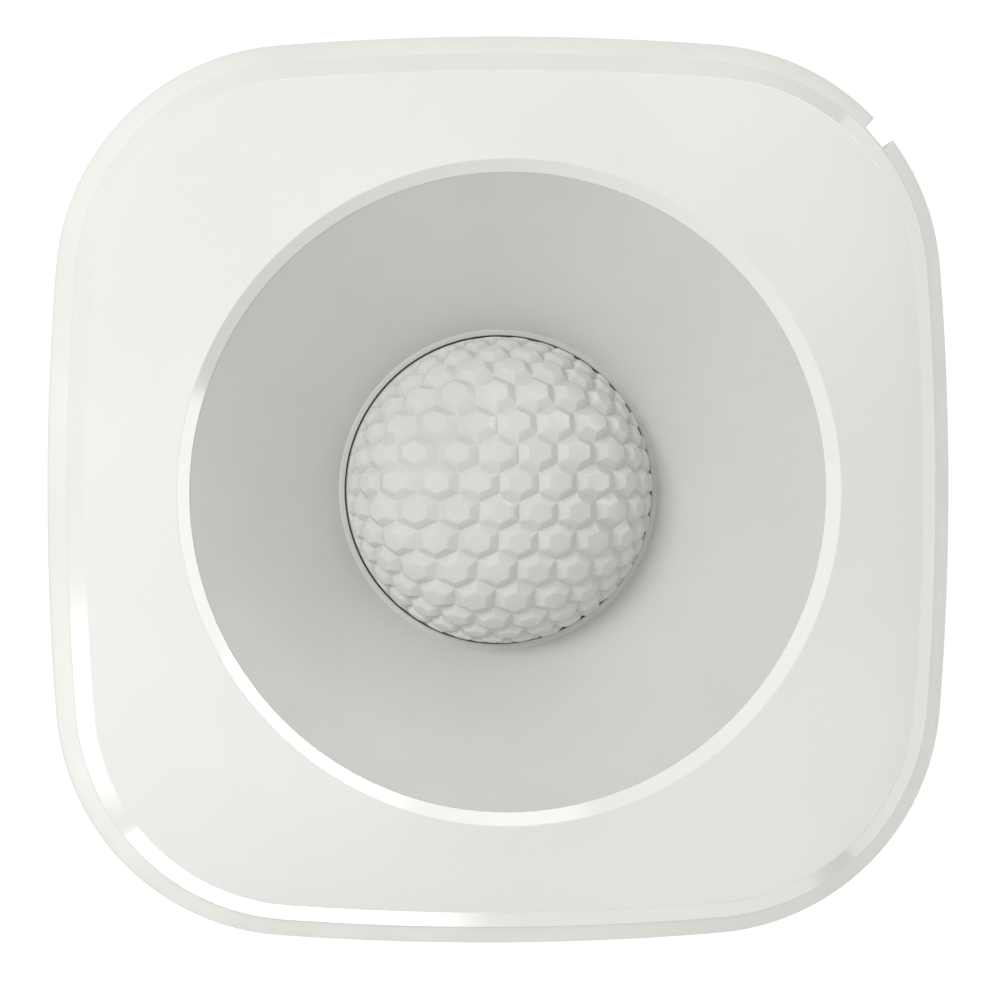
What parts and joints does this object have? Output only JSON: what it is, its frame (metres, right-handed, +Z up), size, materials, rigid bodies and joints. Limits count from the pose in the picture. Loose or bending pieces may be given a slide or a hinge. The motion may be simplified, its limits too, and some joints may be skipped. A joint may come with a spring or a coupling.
{
  "type": "motion sensor",
  "caption": "White wall-mounted battery motion sensor with a bowed square pull-off front, grey conical dish and faceted dome lens.",
  "frame": {"origin": "centre of the adhesive pad's wall face", "axes": "+Y into the wall, -Y the way the sensor looks, +Z up, +X to the right of someone facing the sensor"},
  "size_m": [0.065, 0.0302, 0.065],
  "materials": {
    "gloss_white_abs": "high gloss, faintly warm white",
    "matt_white_abs": "fine matt moulded texture",
    "satin_grey_abs": "satin light grey",
    "lens_polyethylene": "satin, slightly milky",
    "natural_nylon": "satin",
    "foam_tape": "open foam, matt",
    "green_laminate": "solder mask, satin",
    "black_epoxy": "moulded, matt",
    "nickel_plate": "bright plated",
    "steel_screw": "zinc plated",
    "dark_filter": "polished dark filter",
    "led_resin": "clear red resin",
    "cell_sleeve": "printed sleeve, plain colour",
    "aluminium_can": "brushed",
    "red_button": "satin"
  },
  "bodies": {
    "rear_shell": {"rear_cover": "matt_white_abs", "adhesive_pad": "foam_tape"},
    "sensor_module": {"front_cover": "gloss_white_abs", "reflector_dish": "satin_grey_abs", "fresnel_lens": "lens_polyethylene", "lens_retainer": "natural_nylon", "retainer_screw_1": "steel_screw", "retainer_screw_2": "steel_screw", "retainer_screw_3": "steel_screw", "pir_header": "nickel_plate", "pir_can": "nickel_plate", "pir_window": "dark_filter", "main_board": "green_laminate", "status_led": "led_resin", "mcu_chip": "black_epoxy", "radio_board": "black_epoxy", "radio_shield": "nickel_plate", "smoothing_capacitor": "aluminium_can", "tact_switch_body": "black_epoxy", "chassis": "matt_white_abs", "battery_1": "cell_sleeve", "battery_2": "cell_sleeve", "contact_spring_1": "nickel_plate", "contact_spring_2": "nickel_plate", "bridge_contact": "nickel_plate", "positive_contact": "nickel_plate", "negative_contact": "nickel_plate", "case_screw_1": "steel_screw", "case_screw_2": "steel_screw", "case_screw_3": "steel_screw", "case_screw_4": "steel_screw"},
    "reset_button": {"reset_button_cap": "red_button", "tact_plunger": "black_epoxy"}
  },
  "joints": [
    {"name": "front_release", "type": "slide", "parent": "rear_shell", "child": "sensor_module", "axis": [0, -1, 0], "range_m": [0, 0.035]},
    {"name": "reset_press", "type": "slide", "parent": "sensor_module", "child": "reset_button", "axis": [0, -1, 0], "range_m": [0, 0.0003], "stiffness_N_per_m": 800}
  ]
}
